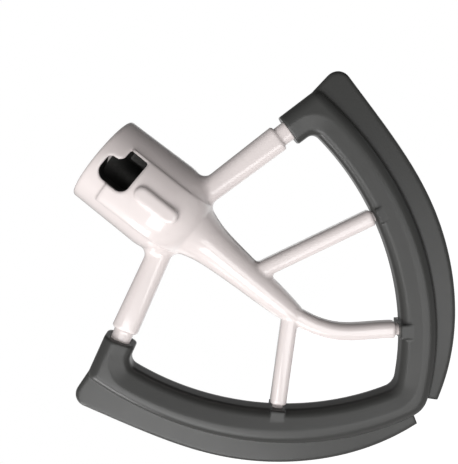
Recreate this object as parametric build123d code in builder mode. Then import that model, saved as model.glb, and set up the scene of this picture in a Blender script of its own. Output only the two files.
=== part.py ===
"""Flat beater with a flexible edge for a tilt-head stand mixer.

Two real pieces: a die-cast frame, and a silicone edge moulded round its loop.
The frame stands as it hangs in use: +Z points up the hub toward the mixer, X runs
across the width and -Y is the front, where the pin slot opens. The origin is the
centre of the bore mouth, so the whole beater hangs below z = 0. Sizes are mm.
"""
from build123d import *
import math
import os

os.makedirs("parts", exist_ok=True)

# Hub, bore and the slot that takes the pin of the mixer shaft
hub_rim_radius = 14.8
hub_foot_radius = 15.5
hub_nose_z = -24.0
hub_rim_round = 0.9
bore_radius = 6.45
bore_depth = 30.0
pad_radius = 16.1
pad_half_width = 9.7
pad_top = -7.6
pad_edge_round = 0.6
slot_seat_x = 0.6
slot_seat_radius = 3.9
slot_seat_top = -3.0
slot_floor = -13.7
slot_back = 4.0
slot_leg_top = -7.1
slot_leg_end_x = 8.9
slot_corner_round = 0.9
slot_seat_round = 3.2
slot_notch_round = 1.9
keyway_angle = 27.0
keyway_width = 5.6
keyway_reach = 12.6

# Raised pill on the front of the hub
pill_centre_x = 0.8
pill_centre_z = -23.3
pill_length = 15.2
pill_width = 4.9
pill_height = 1.3
pill_edge_round = 1.0

# Spine below the hub: its lean to the left, and its radius at each height
spine_lean = 2.2
spine_sink = 4.1
spine_top = (hub_foot_radius - spine_sink, -33.0)
spine_waist = (9.3, -37.6)
spine_neck = (7.4, -43.5)
spine_slope = (6.4, -50.5)
spine_middle = (5.6, -60.0)
spine_lower = (4.6, -74.0)
spine_foot = (2.9, -85.0)
shoulder_round = 8.0

# Arms from the hub to the loop, the same on both sides
arm_slope = 14.0
arm_root_x = 6.0
arm_end_x = 40.6
arm_end_z = -39.9
arm_root_width = 7.7
arm_root_depth = 9.4
arm_root_round = 3.4
arm_fillet = 3.0
arm_end_width = 8.8
arm_end_depth = 8.2
arm_end_round = 2.6
arm_end_chamfer = 0.5
neck_width = 6.6
neck_depth = 6.8
neck_round = 2.2
neck_gap = 3.8

# Ribs from the spine to the loop, seen from the front
rib_width = 5.6
rib_depth = 6.6
rib_corner = 2.0
rib_fillet = 1.5
rib_end_round = 0.7
rib_gap = 1.3
rib_neck_width = 3.8
rib_neck_depth = 4.2
rib_neck_corner = 1.4
high_rib_root = (-1.0, -61.0)
high_rib_end = (39.9, -80.6)
low_rib_root = (-0.6, -78.9)
low_rib_end = (-29.6, -96.7)
tip_rib_root = (-1.9, -76.0)
tip_rib_bend = (-0.7, -88.5)
tip_rib_turn = (2.6, -96.6)
tip_rib_knee = (8.3, -103.9)
tip_rib_end = (15.2, -111.8)

# Loop, right half seen from the front: the outer line of the bar and the window line
bar_corner = (60.3, -39.5)
bar_upper = (58.4, -60.5)
bar_middle = (48.9, -90.0)
bar_lower = (31.0, -116.1)
bar_tip_z = -138.0
bar_tip_width = 12.8
bar_corner_round = 3.0
bar_tip_round = 9.0
window_corner = (49.0, -47.6)
window_upper = (46.5, -63.6)
window_middle = (36.9, -88.0)
window_lower = (20.0, -110.3)
window_tip_z = bar_tip_z + bar_tip_width
window_corner_round = 3.2
window_tip_round = 5.0
bar_depth = 11.0
bar_slope_run = 6.5
bar_slope_drop = 1.3
bar_inner_round = 2.6
bar_outer_round = 3.2
sleeve_width = 10.5
silicone_wall = 2.4
sleeve_end_round = 0.5
core_shares = (0.0, 0.2, 0.4, 0.6, 0.8, 1.0)

# Lugs of silicone round the end of each rib
lug_width = 5.2
lug_depth = 9.8
lug_length = 5.0

# Wipers, right half seen from the front
wiper_corner = (71.2, -40.1)
wiper_upper = (66.9, -59.5)
wiper_middle = (56.6, -92.8)
wiper_lower = (38.3, -119.5)
wiper_end_drop = 2.2
wiper_root_rise = 2.1
wiper_end = (5.7, bar_tip_z - wiper_end_drop)
wiper_root = (3.3, bar_tip_z + wiper_root_rise)
wiper_heel = (57.5, -39.0)
wiper_depth = 4.0
wiper_corner_round = 4.5
wiper_edge_round = 1.2

# How far an edge may be off a level and still count as lying on it
level_tolerance = 0.01

# Where the arm meets the sleeve, from the sizes above
arm_direction = Vector(math.cos(math.radians(arm_slope)), 0, -math.sin(math.radians(arm_slope)))
arm_end_point = Vector(arm_end_x, 0, arm_end_z)
sleeve_end_point = arm_end_point + arm_direction * neck_gap
arm_end_plane = Plane(origin=arm_end_point, x_dir=(0, 1, 0), z_dir=arm_direction)


def section_plane(point, toward):
    """Plane across a rib at a point of the front view, facing another such point."""
    run = Vector(toward[0] - point[0], 0, toward[1] - point[1]).normalized()
    return Plane(origin=(point[0], 0, point[1]), x_dir=(0, 1, 0), z_dir=run)


def arm_plane(across):
    """Plane square to the right arm where its centre line passes a distance from the axis."""
    return arm_end_plane.offset((across - arm_end_x) / math.cos(math.radians(arm_slope)))


def ahead(first, second):
    """The point as far past the second as the first is before it."""
    return (2 * second[0] - first[0], 2 * second[1] - first[1])


def between(first, second):
    """The point half way between two points of the front view."""
    return ((first[0] + second[0]) / 2, (first[1] + second[1]) / 2)


def moved(curve, share, amount):
    """The point at a share of a front view curve, moved square to it toward the right hand."""
    run = curve % share
    point = curve @ share
    return (point.X + run.Y * amount, point.Y - run.X * amount)


def on_level(edge, depth):
    """Whether an edge lies flat at a depth in front of or behind the middle of the bar."""
    box = edge.bounding_box()
    flat = box.size.Y < level_tolerance
    return flat and abs(abs(box.center().Y) - depth) < level_tolerance


def distance(first, second):
    """Distance between two points of the front view."""
    return math.hypot(second[0] - first[0], second[1] - first[1])


# Outer line of the bar and the line of the window inside it, both seen from the front
with BuildSketch(Plane.XZ) as bar_face:
    with BuildLine():
        outer_side = Spline(bar_corner, bar_upper, bar_middle, bar_lower, (0, bar_tip_z))
        roof_rise = bar_corner[0] * math.tan(math.radians(arm_slope))
        Line((0, bar_corner[1] + roof_rise), bar_corner)
        mirror(about=Plane.YZ)
    make_face()

with BuildSketch(Plane.XZ) as window_face:
    with BuildLine():
        inner_side = Spline(
            window_corner, window_upper, window_middle, window_lower, (0, window_tip_z)
        )
        ceiling_rise = window_corner[0] * math.tan(math.radians(arm_slope))
        Line((0, window_corner[1] + ceiling_rise), window_corner)
        mirror(about=Plane.YZ)
    make_face()

# The mouth between the two sleeve ends, where the loop stays open toward the hub
mouth_centre = sleeve_end_point
mouth_across = Vector(-arm_direction.Z, 0, arm_direction.X)
mouth_upper = mouth_centre + mouth_across * bar_depth
mouth_lower = mouth_centre - mouth_across * bar_depth
with BuildSketch(Plane.XZ) as mouth_face:
    with BuildLine():
        Polyline(
            (0, mouth_upper.Z + roof_rise),
            (mouth_upper.X, mouth_upper.Z),
            (mouth_lower.X, mouth_lower.Z),
            (0, mouth_lower.Z),
        )
        mirror(about=Plane.YZ)
    make_face()

# Metal core of the right half of the loop, a wall thickness inside the silicone
core_depth = bar_depth - 2 * silicone_wall
core_reach = bar_corner[0] - bar_corner_round - silicone_wall - sleeve_end_point.X
with BuildPart() as right_core:
    with BuildSketch(Plane.XZ):
        with BuildLine():
            core_outer = Spline(*(moved(outer_side, s, silicone_wall) for s in core_shares))
            core_inner = Spline(*(moved(inner_side, s, -silicone_wall) for s in core_shares))
            Line(core_outer @ 0, core_inner @ 0)
            Line(core_outer @ 1, core_inner @ 1)
        make_face()
    extrude(amount=core_depth / 2, both=True)
    split(bisect_by=Plane.YZ)
    with BuildSketch(arm_end_plane.offset(neck_gap + silicone_wall)):
        Rectangle(core_depth, sleeve_width - 2 * silicone_wall)
    extrude(amount=core_reach)

# Right arm with the thinner neck that runs into the sleeve
with BuildPart() as right_arm:
    with BuildSketch(arm_plane(arm_root_x)):
        RectangleRounded(arm_root_depth, arm_root_width, arm_root_round)
    with BuildSketch(arm_end_plane):
        RectangleRounded(arm_end_depth, arm_end_width, arm_end_round)
    loft(ruled=True)
    arm_tip = right_arm.faces().sort_by(Axis(arm_end_point, arm_direction))[-1]
    chamfer(arm_tip.edges(), length=arm_end_chamfer)
    with BuildSketch(arm_end_plane):
        RectangleRounded(neck_depth, neck_width, neck_round)
    extrude(amount=neck_gap + silicone_wall + core_depth)

# Rib on the right, high on the spine
with BuildPart() as high_rib:
    with BuildSketch(section_plane(high_rib_root, high_rib_end)):
        RectangleRounded(rib_depth, rib_width, rib_corner)
    extrude(amount=distance(high_rib_root, high_rib_end))
    fillet(high_rib.faces().sort_by(Axis.X)[-1].edges(), radius=rib_end_round)
    with BuildSketch(section_plane(high_rib_end, ahead(high_rib_root, high_rib_end))):
        RectangleRounded(rib_neck_depth, rib_neck_width, rib_neck_corner)
    extrude(amount=rib_gap + lug_length)

# Rib on the left, low on the spine
with BuildPart() as low_rib:
    with BuildSketch(section_plane(low_rib_root, low_rib_end)):
        RectangleRounded(rib_depth, rib_width, rib_corner)
    extrude(amount=distance(low_rib_root, low_rib_end))
    fillet(low_rib.faces().sort_by(Axis.X)[0].edges(), radius=rib_end_round)
    with BuildSketch(section_plane(low_rib_end, ahead(low_rib_root, low_rib_end))):
        RectangleRounded(rib_neck_depth, rib_neck_width, rib_neck_corner)
    extrude(amount=rib_gap + lug_length)

# Rib that carries the spine on, bending toward the right of the tip
with BuildPart() as tip_rib:
    with BuildLine(Plane.XZ):
        tip_rib_path = Spline(
            tip_rib_root, tip_rib_bend, tip_rib_turn, tip_rib_knee, tip_rib_end
        )
    with BuildSketch(Plane(origin=tip_rib_path @ 0, x_dir=(0, 1, 0), z_dir=tip_rib_path % 0)):
        RectangleRounded(rib_depth, rib_width, rib_corner)
    sweep()
    fillet(tip_rib.faces().sort_by(Axis.X)[-1].edges(), radius=rib_end_round)
    with BuildSketch(section_plane(tip_rib_end, ahead(tip_rib_knee, tip_rib_end))):
        RectangleRounded(rib_neck_depth, rib_neck_width, rib_neck_corner)
    extrude(amount=rib_gap + lug_length)

# Hub, a little wider toward its foot, with a ball-shaped nose below
with BuildPart() as hub:
    with BuildSketch(Plane.XZ):
        with BuildLine():
            Polyline(
                (0, hub_nose_z - hub_foot_radius),
                (0, 0),
                (hub_rim_radius, 0),
                (hub_foot_radius, hub_nose_z),
            )
            CenterArc((0, hub_nose_z), hub_foot_radius, 0, -90)
        make_face()
    revolve(axis=Axis.Z)
    fillet(hub.edges().group_by(Axis.Z)[-1], radius=hub_rim_round)

# Spine, turned about a line that leans to the left from the centre of the nose
spine_axis_x = -hub_nose_z * math.tan(math.radians(spine_lean))
spine_plane = Plane(
    origin=(spine_axis_x, 0, 0),
    x_dir=(math.cos(math.radians(spine_lean)), 0, -math.sin(math.radians(spine_lean))),
    z_dir=Plane.XZ.z_dir,
)
with BuildPart() as spine:
    with BuildSketch(spine_plane):
        with BuildLine():
            Spline(
                spine_top,
                spine_waist,
                spine_neck,
                spine_slope,
                spine_middle,
                spine_lower,
                spine_foot,
            )
            Polyline(spine_foot, (0, spine_foot[1]), (0, spine_top[1]), spine_top)
        make_face()
    revolve(axis=Axis(spine_plane.origin, spine_plane.y_dir))

# Raised pad on the front of the hub round the slot, fading out over the nose
with BuildPart() as pad:
    with BuildSketch(Plane.XZ):
        with BuildLine():
            Polyline(
                (0, hub_nose_z - pad_radius),
                (0, pad_top),
                (pad_radius, pad_top),
                (pad_radius, hub_nose_z),
            )
            CenterArc((0, hub_nose_z), pad_radius, 0, -90)
        make_face()
    revolve(axis=Axis.Z)
    with BuildSketch(Plane.XZ):
        with Locations((0, pad_top)):
            Rectangle(
                2 * pad_half_width,
                pad_top - hub_nose_z + pad_radius,
                align=(Align.CENTER, Align.MAX),
            )
    extrude(amount=pad_radius, mode=Mode.INTERSECT)
    arcs = pad.edges().filter_by(GeomType.CIRCLE)
    rims = arcs.filter_by(lambda edge: abs(edge.center().Z - hub_nose_z) > level_tolerance)
    sides = pad.edges().filter_by(Axis.Z).group_by(Axis.Y)[0]
    fillet(rims + sides, radius=pad_edge_round)

# Rounded pill below the slot
with BuildPart() as pill:
    with BuildSketch(Plane.XZ.offset(hub_rim_radius - pill_height)):
        with Locations((pill_centre_x, pill_centre_z)):
            SlotOverall(pill_length, pill_width, rotation=90)
    extrude(amount=pad_radius + pill_height - hub_rim_radius + pill_height)
    fillet(pill.faces().sort_by(Axis.Y)[0].edges(), radius=pill_edge_round)

# Frame: one casting
with BuildPart() as beater_frame:
    add(hub.part)
    add(spine.part)
    fillet(beater_frame.edges(Select.NEW), radius=shoulder_round)
    add(right_arm.part)
    fillet(beater_frame.edges(Select.NEW), radius=arm_fillet)
    add(mirror(right_arm.part, about=Plane.YZ, mode=Mode.PRIVATE))
    fillet(beater_frame.edges(Select.NEW), radius=arm_fillet)
    add(high_rib.part)
    fillet(beater_frame.edges(Select.NEW), radius=rib_fillet)
    add(low_rib.part)
    add(tip_rib.part)
    add(right_core.part)
    add(mirror(right_core.part, about=Plane.YZ, mode=Mode.PRIVATE))
    add(pad.part)
    add(pill.part)
    # Bore, blind and square at its mouth
    with BuildSketch(Plane.XY):
        Circle(bore_radius)
    extrude(amount=-bore_depth, mode=Mode.SUBTRACT)
    # Groove inside the rim that lets the pin pass down to the slot
    with BuildSketch(Plane.XY):
        with Locations(Location((0, 0), keyway_angle - 90)):
            Rectangle(
                keyway_reach,
                keyway_width,
                align=(Align.MIN, Align.CENTER),
            )
    extrude(amount=slot_floor, mode=Mode.SUBTRACT)
    # Slot through the front wall: the seat of the pin, then the way across to the groove
    with BuildSketch(Plane.XZ.offset(slot_back)) as slot_face:
        with Locations((slot_seat_x, (slot_seat_top + slot_floor) / 2)):
            Rectangle(2 * slot_seat_radius, slot_seat_top - slot_floor)
        with Locations((slot_seat_x, slot_floor)):
            Rectangle(
                slot_leg_end_x - slot_seat_x,
                slot_leg_top - slot_floor,
                align=(Align.MIN, Align.MIN),
            )
        fillet(slot_face.vertices().group_by(Axis.X)[1], radius=slot_notch_round)
        fillet(slot_face.vertices().group_by(Axis.X)[-1], radius=slot_corner_round)
        fillet(slot_face.vertices().group_by(Axis.X)[0], radius=slot_seat_round)
    extrude(amount=pad_radius, mode=Mode.SUBTRACT)

beater_frame.part.label = "beater_frame"
export_step(beater_frame.part, "parts/beater_frame.step")

# Right wiper, rounded along its edge
with BuildPart() as right_wiper:
    with BuildSketch(Plane.XZ):
        with BuildLine():
            Spline(wiper_corner, wiper_upper, wiper_middle, wiper_lower, wiper_end)
            Polyline(wiper_end, wiper_root, between((0, bar_tip_z), (0, window_tip_z)))
            Spline(
                between((0, bar_tip_z), (0, window_tip_z)),
                between(bar_lower, window_lower),
                between(bar_middle, window_middle),
                between(bar_upper, window_upper),
                between(bar_corner, window_corner),
            )
            Polyline(between(bar_corner, window_corner), wiper_heel, wiper_corner)
        make_face()
    extrude(amount=wiper_depth / 2, both=True)
    fillet(right_wiper.edges().filter_by(Axis.Y).sort_by(Axis.X)[-1], radius=wiper_corner_round)
    rims = ShapeList()
    for face in right_wiper.faces().filter_by(Axis.Y):
        rims += face.edges().sort_by(Axis.X)[-2:]
        rims += face.edges().sort_by(SortBy.LENGTH)[-1:]
    fillet(rims, radius=wiper_edge_round)

# Everything inside the outer line of the bar, as thick as the bar
with BuildPart() as bar_block:
    extrude(bar_face.sketch, amount=bar_depth / 2, both=True)
    sides = bar_block.edges().filter_by(Axis.Y).sort_by(Axis.X)
    fillet([sides[0], sides[-1]], radius=bar_corner_round)
    fillet(bar_block.edges().filter_by(Axis.Y).sort_by(Axis.Z)[0], radius=bar_tip_round)

# The window inside the bar
with BuildPart() as window_block:
    extrude(window_face.sketch, amount=bar_depth, both=True)
    sides = window_block.edges().filter_by(Axis.Y).sort_by(Axis.X)
    fillet([sides[0], sides[-1]], radius=window_corner_round)
    fillet(window_block.edges().filter_by(Axis.Y).sort_by(Axis.Z)[0], radius=window_tip_round)

# Silicone bar and sleeves with their lugs and wipers, moulded in one piece
with BuildPart() as silicone_edge:
    add(bar_block.part)
    add(window_block.part, mode=Mode.SUBTRACT)
    for front in (True, False):
        face = silicone_edge.faces().sort_by(Axis.Y)[0 if front else -1]
        chamfer(
            face.inner_wires()[0].edges(),
            length=bar_slope_run,
            length2=bar_slope_drop,
            reference=face,
        )
    for front in (True, False):
        wall = silicone_edge.faces().sort_by(Axis.Y)[0 if front else -1]
        fillet(wall.outer_wire().edges(), radius=bar_outer_round)
    extrude(mouth_face.sketch, amount=bar_depth, both=True, mode=Mode.SUBTRACT)
    slope_foot = bar_depth / 2 - bar_slope_drop
    fillet(
        silicone_edge.edges().filter_by(lambda edge: on_level(edge, slope_foot)),
        radius=bar_inner_round,
    )
    for end in (sleeve_end_point, Vector(-sleeve_end_point.X, 0, sleeve_end_point.Z)):
        end_face = silicone_edge.faces().sort_by_distance(end)[0]
        fillet(end_face.edges(), radius=sleeve_end_round)
    for start, toward in (
        (high_rib_end, ahead(high_rib_root, high_rib_end)),
        (low_rib_end, ahead(low_rib_root, low_rib_end)),
        (tip_rib_end, ahead(tip_rib_knee, tip_rib_end)),
    ):
        with BuildSketch(section_plane(start, toward).offset(rib_gap)):
            Rectangle(lug_depth, lug_width)
        extrude(amount=lug_length)
    add(right_wiper.part)
    add(mirror(right_wiper.part, about=Plane.YZ, mode=Mode.PRIVATE))
    add(beater_frame.part, mode=Mode.SUBTRACT)

silicone_edge.part.label = "silicone_edge"
export_step(silicone_edge.part, "parts/silicone_edge.step")
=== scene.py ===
"""Looks of the flat beater: glossy off-white casting and satin grey silicone in soft studio light."""
import bpy
from mathutils import Matrix, Vector


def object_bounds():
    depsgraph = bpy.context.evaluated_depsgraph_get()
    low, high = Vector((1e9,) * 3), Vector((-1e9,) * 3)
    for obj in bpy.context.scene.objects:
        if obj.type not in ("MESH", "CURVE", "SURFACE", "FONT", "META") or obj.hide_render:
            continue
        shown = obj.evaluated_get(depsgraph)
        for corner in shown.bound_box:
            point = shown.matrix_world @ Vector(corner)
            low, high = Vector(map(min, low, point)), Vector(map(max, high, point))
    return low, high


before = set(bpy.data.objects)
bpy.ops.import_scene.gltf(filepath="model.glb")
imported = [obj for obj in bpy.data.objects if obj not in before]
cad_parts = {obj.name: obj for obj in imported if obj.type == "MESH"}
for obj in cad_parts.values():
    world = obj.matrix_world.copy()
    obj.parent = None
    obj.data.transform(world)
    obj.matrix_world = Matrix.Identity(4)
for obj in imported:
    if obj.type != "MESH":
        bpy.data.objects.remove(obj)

cad_low, cad_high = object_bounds()

MM = 0.001
WHITE = (1.0, 1.0, 1.0, 1.0)

# Camera: where it stands, which way it looks, and which way is right in the picture
CAMERA_PLACE = Vector((28.69, -197.16, -30.26)) * MM
LOOK_DIRECTION = Vector((-0.0576, 0.9896, -0.1321))
PICTURE_RIGHT = Vector((0.6293, -0.0668, -0.7743))
FOCAL_LENGTH_MM = 46.55
SENSOR_MM = 36.0
SHIFT_RIGHT = -0.0952
SHIFT_UP = -0.0151
CLIP_NEAR = 0.01
CLIP_FAR = 50.0

# Sky: strength in front and behind, and the Y of a direction where each of them is full
SKY_FRONT = 0.64
SKY_BACK = 0.28
SKY_FRONT_FULL = -0.8
SKY_BACK_FULL = 0.8

# Right side of the sky: the share of its strength taken off, full from this X of a direction
SKY_RIGHT_DIM = 0.92
SKY_DIM_FULL = 0.7

# Floor: the glow is what a lit floor lacks to be just white in the picture
FLOOR_DROP = 800 * MM
FLOOR_SIZE = 6.0
FLOOR_COLOUR = (0.8, 0.8, 0.8, 1.0)
FLOOR_GLOW = 0.80

# White background as a gloss mirrors it: the Y where it starts, and the Y where it is full
WHITE_SKY_DIRECTION = (0.90, 1.0)
WHITE_FLOOR_PLACE = (0.3, 1.0)

# Lamps, each with its name, place, side length and power in watts, and the point they face
LAMPS = (
    ("key", Vector((-0.60, -0.80, -0.30)), 0.55, 4.9),
    ("side", Vector((-0.78, -0.22, -0.10)), 0.25, 1.8),
    ("fill", Vector((-0.03, -0.87, -0.45)), 0.40, 1.6),
)
LAMP_AIM = Vector((0, 0, -0.07))

# Coating of the casting: each pair is the lowest and the highest value on the surface
COATING_COLOURS = ((0.82, 0.742, 0.726), (0.86, 0.779, 0.762))
COATING_ROUGHNESS = (0.26, 0.34)
COATING_IOR = 1.5
CLEAR_COAT_ROUGHNESS = 0.06
COATING_EDGE = 1.7 * MM

# Bare metal inside the hub, made dark partly as painted shade for the shadow in the bore and the slot
BARE_AND_SHADE_COLOURS = ((0.035, 0.034, 0.033), (0.075, 0.073, 0.070))
BARE_METALLIC = 0.8
BARE_ROUGHNESS = 0.42

# Where the metal is bare and painted dark as shade: out to one reach down to the floor of the slot,
# and to another below it
DARK_TOP = -0.9 * MM
DARK_REACH = 14.3 * MM
SLOT_FLOOR = -14.2 * MM
BORE_REACH = 7.2 * MM
BORE_FLOOR = -31 * MM
DARK_FADE = 0.25 * MM

# Silicone: each pair is the lowest and the highest value on the surface
SILICONE_COLOURS = ((0.040, 0.040, 0.038), (0.049, 0.049, 0.047))
SILICONE_ROUGHNESS = (0.27, 0.33)
SILICONE_IOR = 1.43
SILICONE_EDGE = 1.4 * MM

# Noises: spots per metre, and how much finer detail each has
COATING_CLOUDS = (45.0, 3.0)
COATING_SHEEN = (130.0, 4.0)
COATING_RIPPLE = (520.0, 2.0)
BARE_SCUFFS = (900.0, 3.0)
SILICONE_CLOUDS = (60.0, 3.0)
SILICONE_SHEEN = (220.0, 3.0)
SILICONE_GRAIN = (2600.0, 2.0)

# Bumps: strength, and height in metres
RIPPLE_BUMP = (0.022, 0.2 * MM)
SCUFF_BUMP = (0.15, 0.1 * MM)
GRAIN_BUMP = (0.12, 0.06 * MM)

# Samples of the normal that makes an edge look rounded
EDGE_SAMPLES = 12

# Colour sockets of the mix node, which also has sockets for numbers and vectors
MIX_FIRST = 6
MIX_SECOND = 7
MIX_RESULT = 2


class Nodes:
    """Short way to add and join the nodes of one node tree."""

    def __init__(self, tree):
        self.tree = tree
        tree.nodes.clear()

    def add(self, kind, **settings):
        """New node of a kind, with its settings."""
        node = self.tree.nodes.new("ShaderNode" + kind)
        for name, value in settings.items():
            setattr(node, name, value)
        return node

    def join(self, source, target):
        """Feeds one socket from another."""
        self.tree.links.new(source, target)

    def set(self, node, **values):
        """Sets input sockets by name, with an underscore for a space."""
        for name, value in values.items():
            node.inputs[name.replace("_", " ")].default_value = value
        return node

    def noise(self, place, scale, detail):
        """Cloudy value of about 0 to 1 at a place."""
        node = self.set(self.add("TexNoise"), Scale=scale, Detail=detail)
        self.join(place, node.inputs["Vector"])
        return node.outputs["Fac"]

    def spread(self, value, low, high, start=0.0, end=1.0):
        """Maps a value from start..end to low..high."""
        node = self.set(self.add("MapRange"), From_Min=start, From_Max=end, To_Min=low, To_Max=high)
        self.join(value, node.inputs["Value"])
        return node.outputs["Result"]

    def split(self, vector):
        """Outputs X, Y and Z of a vector."""
        node = self.add("SeparateXYZ")
        self.join(vector, node.inputs["Vector"])
        return node.outputs

    def combine(self, operation, first, second):
        """Result of an operation on two values."""
        node = self.add("Math", operation=operation)
        self.join(first, node.inputs[0])
        self.join(second, node.inputs[1])
        return node.outputs["Value"]

    def times(self, first, second):
        """Product of two values."""
        return self.combine("MULTIPLY", first, second)

    def larger(self, first, second):
        """The larger of two values."""
        return self.combine("MAXIMUM", first, second)

    def blend(self, share, first, second):
        """Colour between first and second, by a share."""
        node = self.add("Mix", data_type="RGBA")
        self.join(share, node.inputs["Factor"])
        node.inputs[MIX_FIRST].default_value = (*first, 1.0)
        node.inputs[MIX_SECOND].default_value = (*second, 1.0)
        return node.outputs[MIX_RESULT]

    def rounded(self, radius):
        """Normal that makes edges look rounded to a radius."""
        node = self.set(self.add("Bevel", samples=EDGE_SAMPLES), Radius=radius)
        return node.outputs["Normal"]

    def bump(self, height, normal, strength, distance):
        """Normal with small bumps on it."""
        node = self.set(self.add("Bump"), Strength=strength, Distance=distance)
        self.join(height, node.inputs["Height"])
        self.join(normal, node.inputs["Normal"])
        return node.outputs["Normal"]

    def pick(self, share, first, second):
        """Shader that is first at a share of 0 and second at a share of 1."""
        node = self.add("MixShader")
        self.join(share, node.inputs["Fac"])
        self.join(first.outputs[0], node.inputs[1])
        self.join(second.outputs[0], node.inputs[2])
        return node

    def show(self, shader, output):
        """Ends the tree in a kind of output, with a shader as its surface."""
        self.join(shader.outputs[0], self.add(output).inputs["Surface"])


def new_material(name):
    """Material with no nodes yet, and the way to add them."""
    material = bpy.data.materials.new(name)
    material.use_nodes = True
    return material, Nodes(material.node_tree)


def bare_and_shade_share(nodes, place):
    """1 inside the bore and the slot of the hub, where the bare metal is painted dark as shade, 0 on
    every outer surface.
    """
    parts = nodes.split(place)
    flat = nodes.add("CombineXYZ")
    nodes.join(parts["X"], flat.inputs["X"])
    nodes.join(parts["Y"], flat.inputs["Y"])
    reach = nodes.add("VectorMath", operation="LENGTH")
    nodes.join(flat.outputs[0], reach.inputs[0])
    limit = nodes.spread(parts["Z"], BORE_REACH, DARK_REACH, SLOT_FLOOR, SLOT_FLOOR + DARK_FADE)
    depth = nodes.combine("SUBTRACT", limit, reach.outputs["Value"])
    inside = nodes.spread(depth, 0.0, 1.0, 0.0, DARK_FADE)
    below = nodes.spread(parts["Z"], 1.0, 0.0, DARK_TOP - DARK_FADE, DARK_TOP)
    above = nodes.spread(parts["Z"], 0.0, 1.0, BORE_FLOOR, BORE_FLOOR + DARK_FADE)
    return nodes.times(nodes.times(inside, below), above)


def coating(nodes, place, edge):
    """Glossy off-white coating with a clear coat and a faint ripple."""
    shader = nodes.set(nodes.add("BsdfPrincipled"), Metallic=0.0, IOR=COATING_IOR)
    nodes.set(shader, Coat_Weight=1.0, Coat_Roughness=CLEAR_COAT_ROUGHNESS)
    colour = nodes.blend(nodes.noise(place, *COATING_CLOUDS), *COATING_COLOURS)
    nodes.join(colour, shader.inputs["Base Color"])
    sheen = nodes.spread(nodes.noise(place, *COATING_SHEEN), *COATING_ROUGHNESS)
    nodes.join(sheen, shader.inputs["Roughness"])
    ripple = nodes.bump(nodes.noise(place, *COATING_RIPPLE), edge, *RIPPLE_BUMP)
    nodes.join(ripple, shader.inputs["Normal"])
    nodes.join(ripple, shader.inputs["Coat Normal"])
    return shader


def bare_metal_and_shade(nodes, place, edge):
    """Dark scuffed metal, its darkness partly painted shade for the shadow in the bore."""
    shader = nodes.set(nodes.add("BsdfPrincipled"), Metallic=BARE_METALLIC, Roughness=BARE_ROUGHNESS)
    scuffs = nodes.noise(place, *BARE_SCUFFS)
    # Dark colour of bare metal, and painted shade for the shadow inside the bore
    nodes.join(nodes.blend(scuffs, *BARE_AND_SHADE_COLOURS), shader.inputs["Base Color"])
    nodes.join(nodes.bump(scuffs, edge, *SCUFF_BUMP), shader.inputs["Normal"])
    return shader


def coated_casting():
    """Coating on the outside of the casting, and bare metal inside the hub that is dark partly as
    painted shade.
    """
    material, nodes = new_material("coated_casting")
    place = nodes.add("TexCoord").outputs["Object"]
    edge = nodes.rounded(COATING_EDGE)
    outside = coating(nodes, place, edge)
    inside = bare_metal_and_shade(nodes, place, edge)
    nodes.show(nodes.pick(bare_and_shade_share(nodes, place), outside, inside), "OutputMaterial")
    return material


def satin_silicone():
    """Dark grey silicone with a fine grain."""
    material, nodes = new_material("satin_silicone")
    place = nodes.add("TexCoord").outputs["Object"]
    shader = nodes.set(nodes.add("BsdfPrincipled"), Metallic=0.0, IOR=SILICONE_IOR)
    colour = nodes.blend(nodes.noise(place, *SILICONE_CLOUDS), *SILICONE_COLOURS)
    nodes.join(colour, shader.inputs["Base Color"])
    sheen = nodes.spread(nodes.noise(place, *SILICONE_SHEEN), *SILICONE_ROUGHNESS)
    nodes.join(sheen, shader.inputs["Roughness"])
    grain = nodes.bump(nodes.noise(place, *SILICONE_GRAIN), nodes.rounded(SILICONE_EDGE), *GRAIN_BUMP)
    nodes.join(grain, shader.inputs["Normal"])
    nodes.show(shader, "OutputMaterial")
    return material


def paint(node_name, material):
    """Gives a CAD node one material."""
    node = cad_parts[node_name]
    node.data.materials.clear()
    node.data.materials.append(material)


def background_share(nodes, behind):
    """1 for rays from the camera, and the share behind for those off a gloss or through glass."""
    path = nodes.add("LightPath")
    indirect = nodes.larger(path.outputs["Is Glossy Ray"], path.outputs["Is Transmission Ray"])
    return nodes.larger(path.outputs["Is Camera Ray"], nodes.times(indirect, behind))


def make_world():
    """Sky that is bright in front and dim at the right, and plain white for the camera."""
    world = bpy.data.worlds.new("studio")
    bpy.context.scene.world = world
    world.use_nodes = True
    nodes = Nodes(world.node_tree)
    direction = nodes.split(nodes.add("TexCoord").outputs["Generated"])
    front = nodes.spread(direction["Y"], SKY_FRONT, SKY_BACK, SKY_FRONT_FULL, SKY_BACK_FULL)
    dim = nodes.spread(direction["X"], 1.0, 1.0 - SKY_RIGHT_DIM, 0.0, SKY_DIM_FULL)
    studio = nodes.set(nodes.add("Background"), Color=WHITE)
    nodes.join(nodes.times(front, dim), studio.inputs["Strength"])
    white = nodes.set(nodes.add("Background"), Color=WHITE)
    behind = nodes.spread(direction["Y"], 0.0, 1.0, *WHITE_SKY_DIRECTION)
    nodes.show(nodes.pick(background_share(nodes, behind), studio, white), "OutputWorld")


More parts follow.
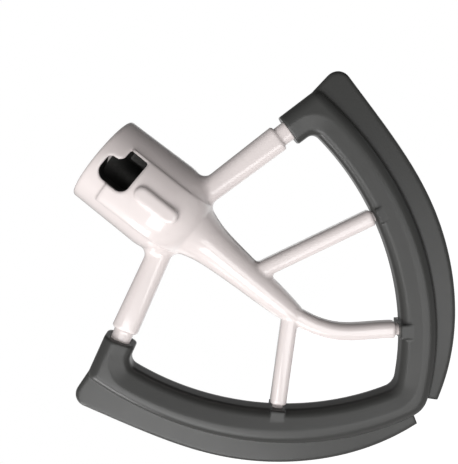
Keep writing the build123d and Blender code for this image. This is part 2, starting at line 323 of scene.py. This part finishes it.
def floor_white():
    """Matt floor that glows to white for the camera and keeps its shading."""
    material, nodes = new_material("floor_white")
    matt = nodes.set(nodes.add("BsdfDiffuse"), Color=FLOOR_COLOUR)
    glow = nodes.set(nodes.add("Emission"), Strength=FLOOR_GLOW)
    white = nodes.add("AddShader")
    nodes.join(matt.outputs[0], white.inputs[0])
    nodes.join(glow.outputs[0], white.inputs[1])
    place = nodes.split(nodes.add("NewGeometry").outputs["Position"])
    behind = nodes.spread(place["Y"], 0.0, 1.0, *WHITE_FLOOR_PLACE)
    nodes.show(nodes.pick(background_share(nodes, behind), matt, white), "OutputMaterial")
    return material


def make_floor():
    """Flat floor well below the hanging beater and its lamps."""
    bpy.ops.mesh.primitive_plane_add(size=FLOOR_SIZE, location=(0, 0, cad_low.z - FLOOR_DROP))
    floor = bpy.context.object
    floor.name = "floor"
    floor.data.materials.append(floor_white())


def make_lamp(name, place, side, power):
    """Square area lamp that faces the beater."""
    data = bpy.data.lights.new(name, "AREA")
    data.size = side
    data.energy = power
    lamp = bpy.data.objects.new(name, data)
    bpy.context.scene.collection.objects.link(lamp)
    lamp.location = place
    lamp.rotation_mode = "QUATERNION"
    lamp.rotation_quaternion = (LAMP_AIM - place).to_track_quat("-Z", "Y")


def make_camera():
    """Camera that sees the beater as the photograph does."""
    data = bpy.data.cameras.new("camera")
    data.sensor_width = SENSOR_MM
    data.lens = FOCAL_LENGTH_MM
    data.shift_x = SHIFT_RIGHT
    data.shift_y = SHIFT_UP
    data.clip_start = CLIP_NEAR
    data.clip_end = CLIP_FAR
    camera = bpy.data.objects.new("camera", data)
    bpy.context.scene.collection.objects.link(camera)
    back = -LOOK_DIRECTION.normalized()
    up = back.cross(PICTURE_RIGHT).normalized()
    right = up.cross(back)
    turn = Matrix((right, up, back)).transposed()
    camera.matrix_world = Matrix.Translation(CAMERA_PLACE) @ turn.to_4x4()
    bpy.context.scene.camera = camera


paint("beater_frame", coated_casting())
paint("silicone_edge", satin_silicone())
make_world()
make_floor()
for lamp_values in LAMPS:
    make_lamp(*lamp_values)
make_camera()
bpy.context.scene.view_settings.view_transform = "Standard"
